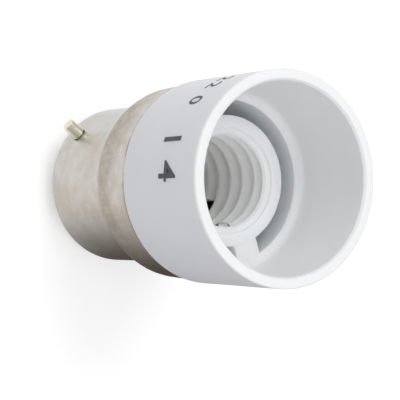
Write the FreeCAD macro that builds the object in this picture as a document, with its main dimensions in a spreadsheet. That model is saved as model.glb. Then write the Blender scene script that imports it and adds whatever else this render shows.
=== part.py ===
import FreeCAD, Part
import Sketcher
import os
import math

os.makedirs("parts", exist_ok=True)
doc = FreeCAD.newDocument("adapter")
sheet = doc.addObject("Spreadsheet::Sheet", "sizes")

# Lamp socket adapter: a bayonet cap of 22 mm behind, a small screw socket of 14 mm in front.
# The Z axis runs from the two flat contacts (z = 0) out of the mouth, the pins lie along X.
given = {
    # overall
    "overallLength": 45.0,
    "plasticClearance": 0.10,
    # bayonet barrel, drawn from sheet
    "sheetThickness": 0.4,
    "barrelRadius": 11.0,
    "barrelRear": 2.5,
    "lipInset": 1.6,
    "rearRounding": 1.0,
    "flareLength": 2.8,
    "flareRise": 2.12,
    "flareRounding": 3.5,
    "collarLength": 7.8,
    "collarRise": 0.38,
    "seamHeight": 27.25,
    # bayonet pins
    "pinRadius": 1.0,
    "pinShankRadius": 0.8,
    "pinHeight": 6.6,
    "pinProud": 2.4,
    "pinShoulderGap": 0.15,
    "pinChamfer": 0.25,
    "pinHoleGap": 0.2,
    "pinFit": 0.02,
    # moulded housing, cup
    "shellStep": 0.28,
    "shellDraft": 0.32,
    "rimWidth": 1.55,
    "mouthChamfer": 0.29,
    "mouthChamferDepth": 0.78,
    "rimRounding": 0.2,
    "cupDraft": 0.45,
    "floorAboveSeam": 4.35,
    # moulded housing, socket boss
    "floorRing": 1.18,
    "grooveWidth": 2.12,
    "grooveFloorThickness": 1.75,
    "bridgeWidth": 3.7,
    "bridgeThickness": 1.6,
    "bridgeAngle": -33.0,
    "bossWall": 2.65,
    "boreLeadIn": 0.8,
    "reliefDepth": 0.55,
    "reliefHeight": 2.6,
    "floorThickness": 2.0,
    "chamberHeight": 7.4,
    "spigotAboveFlare": 1.3,
    "skirtWall": 1.85,
    # slot low in the wall of the bore, open to the chamber below
    "portAngle": 11.1,
    "portWidth": 1.6,
    "portDepth": 1.9,
    "portTop": 4.9,
    # base insulator and its two contacts
    "insulatorBelowPin": 1.4,
    "insulatorProud": 0.4,
    "insulatorRounding": 0.5,
    "contactRadius": 2.5,
    "contactRecess": 0.6,
    "contactShank": 1.1,
    "rivetHead": 0.5,
    "contactHeadRadius": 1.9,
    # strips and springs
    "stripThickness": 0.4,
    "stripWidth": 2.6,
    "stripLeg": 2.1,
    "stripWallGap": 0.9,
    "stripEnd": 1.6,
    "leafThickness": 0.35,
    "rivetRadius": 0.7,
    "rivetHeadRadius": 1.3,
    "rivetFit": 0.02,
    "centreRivetInset": 2.5,
    "centreLeafEnd": 1.3,
    "centreBendGap": 0.2,
    "centreTailRun": 1.4,
    "centreTailDrop": 0.5,
    "centreLeafWidth": 3.4,
    "centreTipHeight": 2.4,
    "sideAngle": -44.7,
    "sideRivetInset": 4.05,
    "sideLeafWidth": 2.0,
    "sideLeafGap": 0.46,
    "sideNoseReach": 0.41,
    "sideNoseDepth": 2.6,
    "sideBendBelowNose": 2.0,
    "sideTailRun": 0.85,
    "sideTailRise": 0.62,
    "sideWindowHeight": 4.2,
    "sideWindowGap": 0.25,
    "sideSlotGap": 0.5,
}


class Size:
    """A number that remembers the expression it came from."""

    def __init__(self, value, text):
        self.value = float(value)
        self.text = text

    def __add__(self, other):
        other = asSize(other)
        return Size(self.value + other.value, f"({self.text} + {other.text})")

    def __radd__(self, other):
        return asSize(other) + self

    def __sub__(self, other):
        other = asSize(other)
        return Size(self.value - other.value, f"({self.text} - {other.text})")

    def __rsub__(self, other):
        return asSize(other) - self

    def __mul__(self, other):
        other = asSize(other)
        return Size(self.value * other.value, f"({self.text} * {other.text})")

    def __truediv__(self, other):
        other = asSize(other)
        return Size(self.value / other.value, f"({self.text} / {other.text})")

    def __neg__(self):
        return Size(-self.value, f"(-{self.text})")


def asSize(number):
    return number if isinstance(number, Size) else Size(number, repr(float(number)))


def cosine(angle):
    return Size(math.cos(math.radians(angle.value)), f"cos({angle.text})")


def sine(angle):
    return Size(math.sin(math.radians(angle.value)), f"sin({angle.text})")


def hypotenuse(x, y):
    return Size(math.hypot(x.value, y.value), f"sqrt({x.text} ^ 2 + {y.text} ^ 2)")


def bearing(x, y):
    return Size(math.degrees(math.atan2(y.value, x.value)), f"atan2({y.text}; {x.text})")


class Table:
    pass


s = Table()
for row, (name, number) in enumerate(given.items(), start=1):
    sheet.set(f"A{row}", name)
    sheet.set(f"B{row}", str(number))
    sheet.setAlias(f"B{row}", name)
    setattr(s, name, Size(number, f"sizes.{name}"))
doc.recompute()

# heights of the outside, from the contacts to the rim
rimHeight = s.overallLength
flareEnd = s.seamHeight - s.collarLength
flareStart = flareEnd - s.flareLength
insulatorFloor = s.barrelRear + s.sheetThickness
insulatorTop = s.pinHeight - s.insulatorBelowPin

# heights inside: the cup stands on the seam, the bore on the chamber of the base
cupFloor = s.seamHeight + s.floorAboveSeam
spigotEnd = flareEnd + s.spigotAboveFlare
grooveFloor = spigotEnd + s.grooveFloorThickness
chamberTop = insulatorTop + s.chamberHeight
boreFloor = chamberTop + s.floorThickness
portHigh = boreFloor + s.portTop

# radii of the barrel and of what it carries
lipRadius = s.barrelRadius - s.lipInset
flareRadius = s.barrelRadius + s.flareRise
collarRadius = flareRadius + s.collarRise
pinTipRadius = s.barrelRadius + s.pinProud
barrelBore = s.barrelRadius - s.sheetThickness
skirtRadius = barrelBore - s.plasticClearance
chamberRadius = skirtRadius - s.skirtWall
contactOffset = chamberRadius - s.stripWallGap - s.stripThickness - s.stripLeg

# radii of the moulding, from the outside in
shellRearRadius = collarRadius + s.shellStep
mouthRadius = shellRearRadius + s.shellDraft
mouthInnerRadius = mouthRadius - s.rimWidth
cupFloorRadius = mouthInnerRadius - s.cupDraft
grooveRadius = cupFloorRadius - s.floorRing
bossRadius = grooveRadius - s.grooveWidth
boreRadius = bossRadius - s.bossWall
reliefRadius = boreRadius + s.reliefDepth

# places of the springs, from the walls that they stand beside
centreRivetRadius = reliefRadius - s.centreRivetInset
centreTipFlat = centreRivetRadius / 6
sideRivetRadius = chamberRadius - s.sideRivetInset
sideLeafRadius = bossRadius + s.sideLeafGap
sideNoseRadius = boreRadius - s.sideNoseReach


def bind(thing, prop, size):
    size = asSize(size)
    thing.setExpression(prop, size.text)


def newBody(label):
    body = doc.addObject("PartDesign::Body", label)
    body.Label = label
    return body


def sketchOn(body, name, plane, lift=0, turn=0):
    """Sketch on an origin plane of the body, lifted along its normal and turned about Z."""
    sketch = body.newObject("Sketcher::SketchObject", name)
    origin = [f for f in body.Origin.OriginFeatures if f.Role == plane][0]
    sketch.AttachmentSupport = [(origin, "")]
    sketch.MapMode = "FlatFace"
    lift = asSize(lift)
    turn = asSize(turn)
    about = FreeCAD.Vector(0, 0, 1) if plane == "XY_Plane" else FreeCAD.Vector(0, 1, 0)
    place = FreeCAD.Placement(FreeCAD.Vector(0, 0, lift.value), FreeCAD.Rotation(about, turn.value))
    sketch.AttachmentOffset = place
    sketch.setExpression(".AttachmentOffset.Base.z", lift.text)
    if turn.value:
        sketch.setExpression(".AttachmentOffset.Rotation.Angle", turn.text)
    return sketch


def locate(sketch, geo, end, size, direction):
    """Hold one end of a line at a distance from the origin along X or Y."""
    size = asSize(size)
    if abs(size.value) < 1e-9:
        axis = -2 if direction == "DistanceX" else -1
        sketch.addConstraint(Sketcher.Constraint("PointOnObject", geo, end, axis))
        return
    number = sketch.addConstraint(Sketcher.Constraint(direction, -1, 1, geo, end, size.value))
    sketch.setExpression(f"Constraints[{number}]", size.text)


def polygon(sketch, corners):
    """Closed outline through corners that are each placed by two sizes."""
    points = [FreeCAD.Vector(asSize(x).value, asSize(y).value, 0) for x, y in corners]
    first = sketch.GeometryCount
    count = len(points)
    for i in range(count):
        sketch.addGeometry(Part.LineSegment(points[i], points[(i + 1) % count]), False)
    for i in range(count):
        link = Sketcher.Constraint("Coincident", first + i, 2, first + (i + 1) % count, 1)
        sketch.addConstraint(link)
    for i, (x, y) in enumerate(corners):
        locate(sketch, first + i, 1, x, "DistanceX")
        locate(sketch, first + i, 1, y, "DistanceY")


def openPath(sketch, corners):
    """Open chain of lines through corners that are each placed by two sizes."""
    points = [FreeCAD.Vector(asSize(x).value, asSize(y).value, 0) for x, y in corners]
    for start, finish in zip(points, points[1:]):
        sketch.addGeometry(Part.LineSegment(start, finish), False)
    for i in range(len(points) - 2):
        sketch.addConstraint(Sketcher.Constraint("Coincident", i, 2, i + 1, 1))
    for i, (x, y) in enumerate(corners[:-1]):
        locate(sketch, i, 1, x, "DistanceX")
        locate(sketch, i, 1, y, "DistanceY")
    x, y = corners[-1]
    locate(sketch, len(points) - 2, 2, x, "DistanceX")
    locate(sketch, len(points) - 2, 2, y, "DistanceY")


def rectangle(sketch, x0, x1, y0, y1):
    polygon(sketch, [(x0, y0), (x1, y0), (x1, y1), (x0, y1)])


def circle(sketch, x, y, radius):
    x, y, radius = asSize(x), asSize(y), asSize(radius)
    centre = FreeCAD.Vector(x.value, y.value, 0)
    geo = sketch.addGeometry(Part.Circle(centre, FreeCAD.Vector(0, 0, 1), radius.value), False)
    number = sketch.addConstraint(Sketcher.Constraint("Radius", geo, radius.value))
    sketch.setExpression(f"Constraints[{number}]", radius.text)
    locate(sketch, geo, 3, x, "DistanceX")
    locate(sketch, geo, 3, y, "DistanceY")


def revolve(body, sketch):
    turned = body.newObject("PartDesign::Revolution", "Revolution")
    turned.Profile = sketch
    turned.ReferenceAxis = (sketch, ["V_Axis"])
    turned.Angle = 360
    doc.recompute()
    return turned


def pad(body, sketch, length, reverse=False, middle=False):
    grown = body.newObject("PartDesign::Pad", "Pad")
    grown.Profile = sketch
    bind(grown, "Length", length)
    grown.Reversed = reverse
    if middle:
        grown.SideType = "Symmetric"
    doc.recompute()
    return grown


def pocket(body, sketch, length=None, reverse=False, middle=False):
    before = body.Shape.Volume
    cut = body.newObject("PartDesign::Pocket", "Pocket")
    cut.Profile = sketch
    if length is None:
        cut.Type = "ThroughAll"
    else:
        bind(cut, "Length", length)
    cut.Reversed = reverse
    if middle:
        cut.SideType = "Symmetric"
    doc.recompute()
    if body.Shape.Volume > before - 1e-6:
        raise RuntimeError(f"{sketch.Name} cuts nothing from {body.Label}")
    return cut


def ringEdges(body, rings):
    """Names of the circular edges that lie at the given radius and height."""
    found = []
    for number, edge in enumerate(body.Shape.Edges, start=1):
        curve = edge.Curve
        if not isinstance(curve, Part.Circle):
            continue
        for radius, height in rings:
            nearRadius = abs(curve.Radius - asSize(radius).value) < 1e-3
            nearHeight = abs(curve.Center.z - asSize(height).value) < 1e-3
            centred = math.hypot(curve.Center.x, curve.Center.y) < 1e-3
            if nearRadius and nearHeight and centred:
                found.append(f"Edge{number}")
    if len(found) < len(rings):
        raise RuntimeError(f"a ring of {body.Label} was not found")
    return found


def roundRings(body, rings, radius):
    base = body.Tip
    edges = ringEdges(body, rings)
    fillet = body.newObject("PartDesign::Fillet", "Fillet")
    fillet.Base = (base, edges)
    bind(fillet, "Radius", radius)
    doc.recompute()
    return fillet


def chamferEdges(body, edges, size):
    base = body.Tip
    chamfer = body.newObject("PartDesign::Chamfer", "Chamfer")
    chamfer.Base = (base, edges)
    bind(chamfer, "Size", size)
    doc.recompute()
    return chamfer


def turnAboutZ(body, angle):
    angle = asSize(angle)
    turned = FreeCAD.Rotation(FreeCAD.Vector(0, 0, 1), angle.value)
    body.Placement = FreeCAD.Placement(body.Placement.Base, turned)
    bind(body, ".Placement.Rotation.Angle", angle)


def moveTo(body, x, y):
    body.Placement.Base = FreeCAD.Vector(asSize(x).value, asSize(y).value, 0)
    bind(body, ".Placement.Base.x", x)
    bind(body, ".Placement.Base.y", y)


def drawnBarrel():
    """Metal shell: curled rear lip, straight barrel, flare and collar, all of one thickness."""
    body = newBody("bayonet_barrel")
    inner = s.sheetThickness
    bend = s.sheetThickness * 0.34  # shift of the inner corner of a flare bend
    profile = sketchOn(body, "BarrelProfile", "XZ_Plane")
    polygon(profile, [
        (lipRadius, s.barrelRear),
        (s.barrelRadius, s.barrelRear),
        (s.barrelRadius, flareStart),
        (flareRadius, flareEnd),
        (collarRadius, s.seamHeight),
        (collarRadius - inner, s.seamHeight),
        (flareRadius - inner, flareEnd + bend),
        (s.barrelRadius - inner, flareStart + bend),
        (s.barrelRadius - inner, s.barrelRear + inner),
        (lipRadius, s.barrelRear + inner),
    ])
    revolve(body, profile)
    roundRings(body, [(s.barrelRadius, s.barrelRear)], s.rearRounding)
    roundRings(body, [(s.barrelRadius - inner, s.barrelRear + inner)], s.rearRounding - inner)
    roundRings(body, [(s.barrelRadius, flareStart)], s.flareRounding)
    roundRings(body, [(flareRadius, flareEnd)], s.flareRounding)
    roundRings(body, [(s.barrelRadius - inner, flareStart + bend)], s.flareRounding + inner)
    roundRings(body, [(flareRadius - inner, flareEnd + bend)], s.flareRounding - inner)
    holes = sketchOn(body, "PinHoles", "YZ_Plane")
    circle(holes, 0, s.pinHeight, s.pinRadius + s.pinHoleGap)
    pocket(body, holes, middle=True)
    return body


def bayonetPin(label, angle):
    """Turned pin: slim shank in the moulding, shoulder and free end outside the barrel."""
    body = newBody(label)
    start = chamberRadius + s.plasticClearance
    shoulder = s.barrelRadius + s.pinShoulderGap
    shank = sketchOn(body, label + "_shank", "YZ_Plane", lift=start)
    circle(shank, 0, s.pinHeight, s.pinShankRadius)
    pad(body, shank, shoulder - start)
    head = sketchOn(body, label + "_head", "YZ_Plane", lift=shoulder)
    circle(head, 0, s.pinHeight, s.pinRadius)
    pad(body, head, pinTipRadius - shoulder)
    tip = [
        f"Edge{i}" for i, edge in enumerate(body.Shape.Edges, start=1)
        if isinstance(edge.Curve, Part.Circle) and abs(edge.Curve.Center.x - pinTipRadius.value) < 1e-3
    ]
    chamferEdges(body, tip, s.pinChamfer)
    turnAboutZ(body, angle)
    doc.recompute()
    return body


def socketHousing():
    """White moulding: cup, annular groove with two bridges, socket boss and hidden skirt."""
    body = newBody("socket_housing")
    spigotGap = s.sheetThickness + s.plasticClearance
    profile = sketchOn(body, "HousingProfile", "XZ_Plane")
    polygon(profile, [
        (0, chamberTop),
        (chamberRadius, chamberTop),
        (chamberRadius, insulatorTop),
        (skirtRadius, insulatorTop),
        (skirtRadius, spigotEnd),
        (flareRadius - spigotGap, spigotEnd),
        (collarRadius - spigotGap, s.seamHeight),
        (shellRearRadius, s.seamHeight),
        (mouthRadius, rimHeight),
        (mouthInnerRadius + s.mouthChamfer, rimHeight),
        (mouthInnerRadius, rimHeight - s.mouthChamferDepth),
        (cupFloorRadius, cupFloor),
        (grooveRadius, cupFloor),
        (grooveRadius, grooveFloor),
        (bossRadius, grooveFloor),
        (bossRadius, cupFloor),
        (boreRadius + s.boreLeadIn, cupFloor),
        (boreRadius, cupFloor - s.boreLeadIn),
        (boreRadius, boreFloor + s.reliefHeight),
        (reliefRadius, boreFloor + s.reliefHeight),
        (reliefRadius, boreFloor),
        (0, boreFloor),
    ])
    revolve(body, profile)
    roundRings(body, [(mouthRadius, rimHeight)], s.rimRounding)
    roundRings(body, [(shellRearRadius, s.seamHeight)], s.rimRounding)

    bridgeStart = (boreRadius + s.boreLeadIn + bossRadius) / 2
    bridgeStop = (grooveRadius + cupFloorRadius) / 2
    bridges = sketchOn(body, "Bridges", "XY_Plane", lift=cupFloor, turn=s.bridgeAngle)
    half = s.bridgeWidth / 2
    rectangle(bridges, bridgeStart, bridgeStop, -half, half)
    rectangle(bridges, -bridgeStop, -bridgeStart, -half, half)
    pad(body, bridges, s.bridgeThickness, reverse=True)

    # window through the boss wall, where the side spring looks into the bore
    windowTop = cupFloor - s.bridgeThickness
    half = s.sideLeafWidth / 2 + s.sideWindowGap
    window = sketchOn(body, "SideWindow", "XY_Plane", lift=windowTop, turn=s.sideAngle)
    rectangle(window, boreRadius - s.boreLeadIn, (bossRadius + grooveRadius) / 2, -half, half)
    pocket(body, window, s.sideWindowHeight)

    # slot that takes the side spring from the chamber up into the groove
    slotLow = chamberTop - s.leafThickness * 2
    slotOuter = sideLeafRadius + s.leafThickness / 2 + s.sideSlotGap
    slot = sketchOn(body, "SideSlot", "XY_Plane", lift=grooveFloor, turn=s.sideAngle)
    rectangle(slot, chamberRadius - s.sideSlotGap, slotOuter, -half, half)
    pocket(body, slot, grooveFloor - slotLow)

    # moulded slot low in the wall of the bore, open to the chamber below
    port = sketchOn(body, "BorePort", "XY_Plane", lift=portHigh, turn=s.portAngle)
    rectangle(port, boreRadius - s.boreLeadIn / 2, boreRadius + s.portDepth, -s.portWidth / 2, s.portWidth / 2)
    pocket(body, port, portHigh - slotLow)

    pins = sketchOn(body, "PinBores", "YZ_Plane")
    circle(pins, 0, s.pinHeight, s.pinShankRadius + s.pinFit)
    pocket(body, pins, middle=True)

    rivetHole = s.rivetRadius + s.rivetFit
    centre = sketchOn(body, "CentreRivetHole", "XY_Plane", lift=boreFloor)
    circle(centre, 0, centreRivetRadius, rivetHole)
    pocket(body, centre, s.floorThickness)
    side = sketchOn(body, "SideRivetHole", "XY_Plane", lift=boreFloor, turn=s.sideAngle)
    circle(side, sideRivetRadius, 0, rivetHole)
    pocket(body, side, s.floorThickness)
    return body


def baseInsulator():
    body = newBody("base_insulator")
    nose = lipRadius - s.plasticClearance
    corner = s.rearRounding - s.plasticClearance * 3  # bevel that clears the rounding of the barrel
    profile = sketchOn(body, "InsulatorProfile", "XZ_Plane")
    polygon(profile, [
        (0, s.insulatorProud),
        (nose, s.insulatorProud),
        (nose, insulatorFloor),
        (skirtRadius - corner, insulatorFloor),
        (skirtRadius, insulatorFloor + corner),
        (skirtRadius, insulatorTop),
        (0, insulatorTop),
    ])
    revolve(body, profile)
    roundRings(body, [(nose, s.insulatorProud)], s.insulatorRounding)
    recess = sketchOn(body, "ContactRecess", "XY_Plane", lift=s.insulatorProud)
    holes = sketchOn(body, "ContactHoles", "XY_Plane", lift=s.insulatorProud)
    for side in (1, -1):
        circle(recess, 0, contactOffset * side, s.contactRadius + s.plasticClearance / 2)
        circle(holes, 0, contactOffset * side, s.contactShank + s.rivetFit)
    pocket(body, recess, s.contactRecess, reverse=True)
    pocket(body, holes, insulatorTop - s.insulatorProud, reverse=True)
    return body


def baseContact(label, side):
    """Flat contact whose shank passes the insulator and is clinched over the strip."""
    body = newBody(label)
    padTop = s.insulatorProud + s.contactRecess
    clinch = insulatorTop + s.stripThickness
    edge = s.rivetHead / 2
    profile = sketchOn(body, label + "_profile", "XZ_Plane")
    polygon(profile, [
        (0, 0),
        (s.contactRadius - edge, 0),
        (s.contactRadius, edge),
        (s.contactRadius, padTop),
        (s.contactShank, padTop),
        (s.contactShank, clinch),
        (s.contactHeadRadius, clinch),
        (s.contactHeadRadius - edge, clinch + s.rivetHead),
        (0, clinch + s.rivetHead),
    ])
    revolve(body, profile)
    moveTo(body, 0, contactOffset * side)
    return body


def leadStrip(label, top, rivetAt, contactAt, angle, origin=None):
    """Bent strip from under the socket floor down to the shank of a base contact."""
    body = newBody(label)
    thick = s.stripThickness
    leg = contactAt + s.stripLeg
    profile = sketchOn(body, label + "_profile", "XZ_Plane")
    polygon(profile, [
        (rivetAt - s.stripEnd, top - thick),
        (leg, top - thick),
        (leg, insulatorTop + thick),
        (contactAt - s.stripEnd, insulatorTop + thick),
        (contactAt - s.stripEnd, insulatorTop),
        (leg + thick, insulatorTop),
        (leg + thick, top),
        (rivetAt - s.stripEnd, top),
    ])
    pad(body, profile, s.stripWidth, middle=True)
    upper = sketchOn(body, label + "_upper", "XY_Plane", lift=top)
    circle(upper, rivetAt, 0, s.rivetRadius + s.rivetFit)
    pocket(body, upper, thick)
    lower = sketchOn(body, label + "_lower", "XY_Plane", lift=insulatorTop + thick)
    circle(lower, contactAt, 0, s.contactShank + s.rivetFit)
    pocket(body, lower, thick)
    if origin:
        moveTo(body, *origin)
    turnAboutZ(body, angle)
    return body


def leafSpring(label, path, width, start, low, rivetAt, angle):
    """Leaf of even thickness swept along its bends, with the hole for its rivet."""
    body = newBody(label)
    spine = sketchOn(body, label + "_spine", "XZ_Plane")
    openPath(spine, path)
    section = sketchOn(body, label + "_section", "YZ_Plane", lift=start)
    rectangle(section, -width / 2, width / 2, low, low + s.leafThickness)
    doc.recompute()
    sweep = body.newObject("PartDesign::AdditivePipe", "Sweep")
    sweep.Profile = section
    sweep.Spine = (spine, [])
    sweep.Transition = "Right corner"
    doc.recompute()
    hole = sketchOn(body, label + "_hole", "XY_Plane", lift=low + s.leafThickness)
    circle(hole, rivetAt, 0, s.rivetRadius + s.rivetFit)
    pocket(body, hole, s.leafThickness)
    turnAboutZ(body, angle)
    return body


def rivet(label, x, y, headSeat, clinchSeat):
    body = newBody(label)
    bevel = s.rivetHead / 2
    profile = sketchOn(body, label + "_profile", "XZ_Plane")
    polygon(profile, [
        (0, clinchSeat - s.rivetHead),
        (s.rivetHeadRadius - bevel, clinchSeat - s.rivetHead),
        (s.rivetHeadRadius, clinchSeat - bevel),
        (s.rivetHeadRadius, clinchSeat),
        (s.rivetRadius, clinchSeat),
        (s.rivetRadius, headSeat),
        (s.rivetHeadRadius, headSeat),
        (s.rivetHeadRadius, headSeat + bevel),
        (s.rivetHeadRadius - bevel, headSeat + s.rivetHead),
        (0, headSeat + s.rivetHead),
    ])
    revolve(body, profile)
    moveTo(body, x, y)
    return body


parts = [
    drawnBarrel(),
    bayonetPin("bayonet_pin_right", 0),
    bayonetPin("bayonet_pin_left", 180),
    socketHousing(),
    baseInsulator(),
    baseContact("base_contact_front", -1),
    baseContact("base_contact_back", 1),
]

# centre spring on the floor of the bore, its rivet and the strip to the back contact
centreMid = boreFloor + s.leafThickness / 2
centreTip = boreFloor + s.centreTipHeight - s.leafThickness / 2
centreStart = centreRivetRadius + s.centreLeafEnd
centrePath = [
    (centreStart, centreMid),
    (centreRivetRadius - s.rivetHeadRadius - s.centreBendGap, centreMid),
    (centreTipFlat, centreTip),
    (-centreTipFlat, centreTip),
    (-centreTipFlat - s.centreTailRun, centreTip - s.centreTailDrop),
]
parts.append(leafSpring(
    "centre_contact_spring", centrePath, s.centreLeafWidth, centreStart, boreFloor, centreRivetRadius, 90))
parts.append(rivet(
    "centre_rivet", 0, centreRivetRadius, boreFloor + s.leafThickness, chamberTop - s.stripThickness))
parts.append(leadStrip("centre_lead", chamberTop, centreRivetRadius, contactOffset, 90))

# side spring under the floor, up through its slot and in through the window
sideFoot = chamberTop - s.leafThickness
sideMid = sideFoot + s.leafThickness / 2
sideStart = sideRivetRadius - s.centreLeafEnd
noseHeight = cupFloor - s.sideNoseDepth
noseLine = sideNoseRadius + s.leafThickness * 0.9  # the bend is sharp, so its tip stands out
sidePath = [
    (sideStart, sideMid),
    (sideLeafRadius, sideMid),
    (sideLeafRadius, noseHeight - s.sideBendBelowNose),
    (noseLine, noseHeight),
    (noseLine + s.sideTailRun, noseHeight + s.sideTailRise),
]
sideRivetX = cosine(s.sideAngle) * sideRivetRadius
sideRivetY = sine(s.sideAngle) * sideRivetRadius
parts.append(leafSpring(
    "side_contact_spring", sidePath, s.sideLeafWidth, sideStart, sideFoot, sideRivetRadius, s.sideAngle))
parts.append(rivet("side_rivet", sideRivetX, sideRivetY, boreFloor, sideFoot - s.stripThickness))
leadX = -sideRivetX
leadY = -contactOffset - sideRivetY
leadLength = hypotenuse(leadX, leadY)
leadAngle = bearing(leadX, leadY)
parts.append(leadStrip(
    "side_lead", sideFoot, asSize(0), leadLength, leadAngle, (sideRivetX, sideRivetY)))

doc.recompute()
for thing in doc.Objects:
    if "Invalid" in thing.State or "Error" in thing.State:
        raise RuntimeError(f"{thing.Name} did not build: {thing.State}")
for body in parts:
    shape = body.Shape
    if shape.isNull() or not shape.isValid() or len(shape.Solids) != 1:
        raise RuntimeError(f"{body.Label} is not one valid solid")
    shape.exportStep(f"parts/{body.Label}.step")
    print(body.Label, round(shape.Volume, 2), [round(v, 2) for v in (
        shape.BoundBox.XMin, shape.BoundBox.XMax, shape.BoundBox.YMin,
        shape.BoundBox.YMax, shape.BoundBox.ZMin, shape.BoundBox.ZMax)])
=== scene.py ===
import math

import bmesh
import bpy
from mathutils import Matrix, Vector


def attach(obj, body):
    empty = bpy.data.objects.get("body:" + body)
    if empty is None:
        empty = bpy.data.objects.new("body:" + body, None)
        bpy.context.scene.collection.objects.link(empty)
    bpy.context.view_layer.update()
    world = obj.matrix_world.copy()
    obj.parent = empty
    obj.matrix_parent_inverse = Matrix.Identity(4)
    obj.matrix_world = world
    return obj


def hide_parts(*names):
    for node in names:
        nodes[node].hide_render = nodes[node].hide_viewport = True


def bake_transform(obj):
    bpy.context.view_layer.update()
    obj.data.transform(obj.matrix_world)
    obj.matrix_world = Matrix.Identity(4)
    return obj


mm = 0.001
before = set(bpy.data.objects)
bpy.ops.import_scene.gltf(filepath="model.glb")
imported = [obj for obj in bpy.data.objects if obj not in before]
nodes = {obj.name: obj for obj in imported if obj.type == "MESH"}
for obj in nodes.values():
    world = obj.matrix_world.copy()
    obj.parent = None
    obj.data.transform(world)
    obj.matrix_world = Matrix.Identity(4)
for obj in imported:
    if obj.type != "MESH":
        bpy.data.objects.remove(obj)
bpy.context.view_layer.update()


# a socket that can be added, multiplied and so on, each step becoming a Math node
class Term:
    def __init__(self, graph, socket):
        self.graph = graph
        self.socket = socket

    def __add__(self, other):
        return self.graph.maths("ADD", self, other)

    def __sub__(self, other):
        return self.graph.maths("SUBTRACT", self, other)

    def __rsub__(self, other):
        return self.graph.maths("SUBTRACT", other, self)

    def __mul__(self, other):
        return self.graph.maths("MULTIPLY", self, other)

    def __truediv__(self, other):
        return self.graph.maths("DIVIDE", self, other)

    __radd__ = __add__
    __rmul__ = __mul__


class Graph:
    def __init__(self, tree):
        self.tree = tree
        tree.nodes.clear()

    # one node of any type: its settings first, then what its sockets hold or are linked to
    def add(self, kind, settings=None, sockets=None):
        node = self.tree.nodes.new(kind)
        for name, value in (settings or {}).items():
            setattr(node, name, value)
        for name, value in (sockets or {}).items():
            target = pickSocket(node.inputs, name)
            if isinstance(value, Term):
                self.tree.links.new(value.socket, target)
            else:
                target.default_value = value
        return node

    def out(self, node, name=0):
        return Term(self, pickSocket(node.outputs, name))

    def maths(self, operation, *values):
        sockets = {i: value for i, value in enumerate(values)}
        return self.out(self.add("ShaderNodeMath", {"operation": operation}, sockets))

    def split(self, vector):
        node = self.add("ShaderNodeSeparateXYZ", None, {"Vector": vector})
        return [self.out(node, axis) for axis in "XYZ"]

    def joinXyz(self, x, y, z):
        return self.out(self.add("ShaderNodeCombineXYZ", None, {"X": x, "Y": y, "Z": z}))

    # 0 below the first value, 1 above the second, smooth between
    def ramp(self, value, low, high):
        return self.out(self.add(
            "ShaderNodeMapRange", {"interpolation_type": "SMOOTHSTEP"},
            {"Value": value, "From Min": low, "From Max": high}))

    # the same over a pair of millimetre values, and the opposite of it
    def above(self, value, span):
        return self.ramp(value, span[0] * mm, span[1] * mm)

    def below(self, value, span):
        return 1 - self.above(value, span)

    # how far x, y lie along the direction at this angle about Z
    def along(self, x, y, degrees):
        angle = math.radians(degrees)
        return x * math.cos(angle) + y * math.sin(angle)

    # and how far they lie beside it
    def beside(self, x, y, degrees):
        angle = math.radians(degrees)
        return self.maths("ABSOLUTE", y * math.cos(angle) - x * math.sin(angle))

    def noise(self, vector, scale, detail=3.0, roughness=0.5):
        return self.out(self.add(
            "ShaderNodeTexNoise", None,
            {"Vector": vector, "Scale": scale, "Detail": detail, "Roughness": roughness}), "Fac")

    def stretched(self, vector, scale):
        return self.out(self.add("ShaderNodeMapping", None, {"Vector": vector, "Scale": scale}))

    def blendColours(self, factor, first, second):
        return self.out(self.add(
            "ShaderNodeMix", {"data_type": "RGBA"},
            {"Factor_Float": factor, "A_Color": first, "B_Color": second}), "Result_Color")


def pickSocket(sockets, name):
    if isinstance(name, int):
        return sockets[name]
    for socket in sockets:
        if socket.identifier == name:
            return socket
    return sockets[name]


# the common end of every surface: what varies is linked, the rest is a plain number on the shader
def newSurface(name, paint):
    material = bpy.data.materials.new(name)
    material.use_nodes = True
    graph = Graph(material.node_tree)
    place = graph.out(graph.add("ShaderNodeTexCoord"), "Object")
    sockets, bump, distance = paint(graph, place)
    if bump is not None:
        sockets["Normal"] = graph.out(graph.add(
            "ShaderNodeBump", None, {"Strength": 1.0, "Distance": distance, "Height": bump}))
    shader = graph.add("ShaderNodeBsdfPrincipled", None, sockets)
    graph.add("ShaderNodeOutputMaterial", None, {"Surface": graph.out(shader)})
    return material


nickelLook = {
    "plate": (0.585, 0.583, 0.56, 1),
    "warm": (0.50, 0.45, 0.395, 1),
    # stains, and the painted shade of the flare
    "stainAndShade": (0.36, 0.32, 0.265, 1),
    # the seam's dark line: grime and painted shade in the corner
    "seam": (0.16, 0.145, 0.13, 1),
    "roughness": 0.37,
    "lineDepth": 0.0022 * mm,
    # degrees about Z of the side tinted browner as a painted reflection, and of the brown patch on the collar
    "warmReflectionSide": -82, "patchSide": -166,
    "patchEdge": (0.88, 1.04),  # cosines of the angle from the patch's middle between which it comes in
    # heights in millimetres over which each stain and each painted shade begins and ends
    "flareFoot": (15.2, 17.0), "flareTop": (21.2, 24.6), "collarFoot": (19.2, 22.2),
    "patchFoot": (18.5, 19.7), "patchTop": (23.6, 25.6), "seamFoot": (26.35, 26.75),
}


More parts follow.
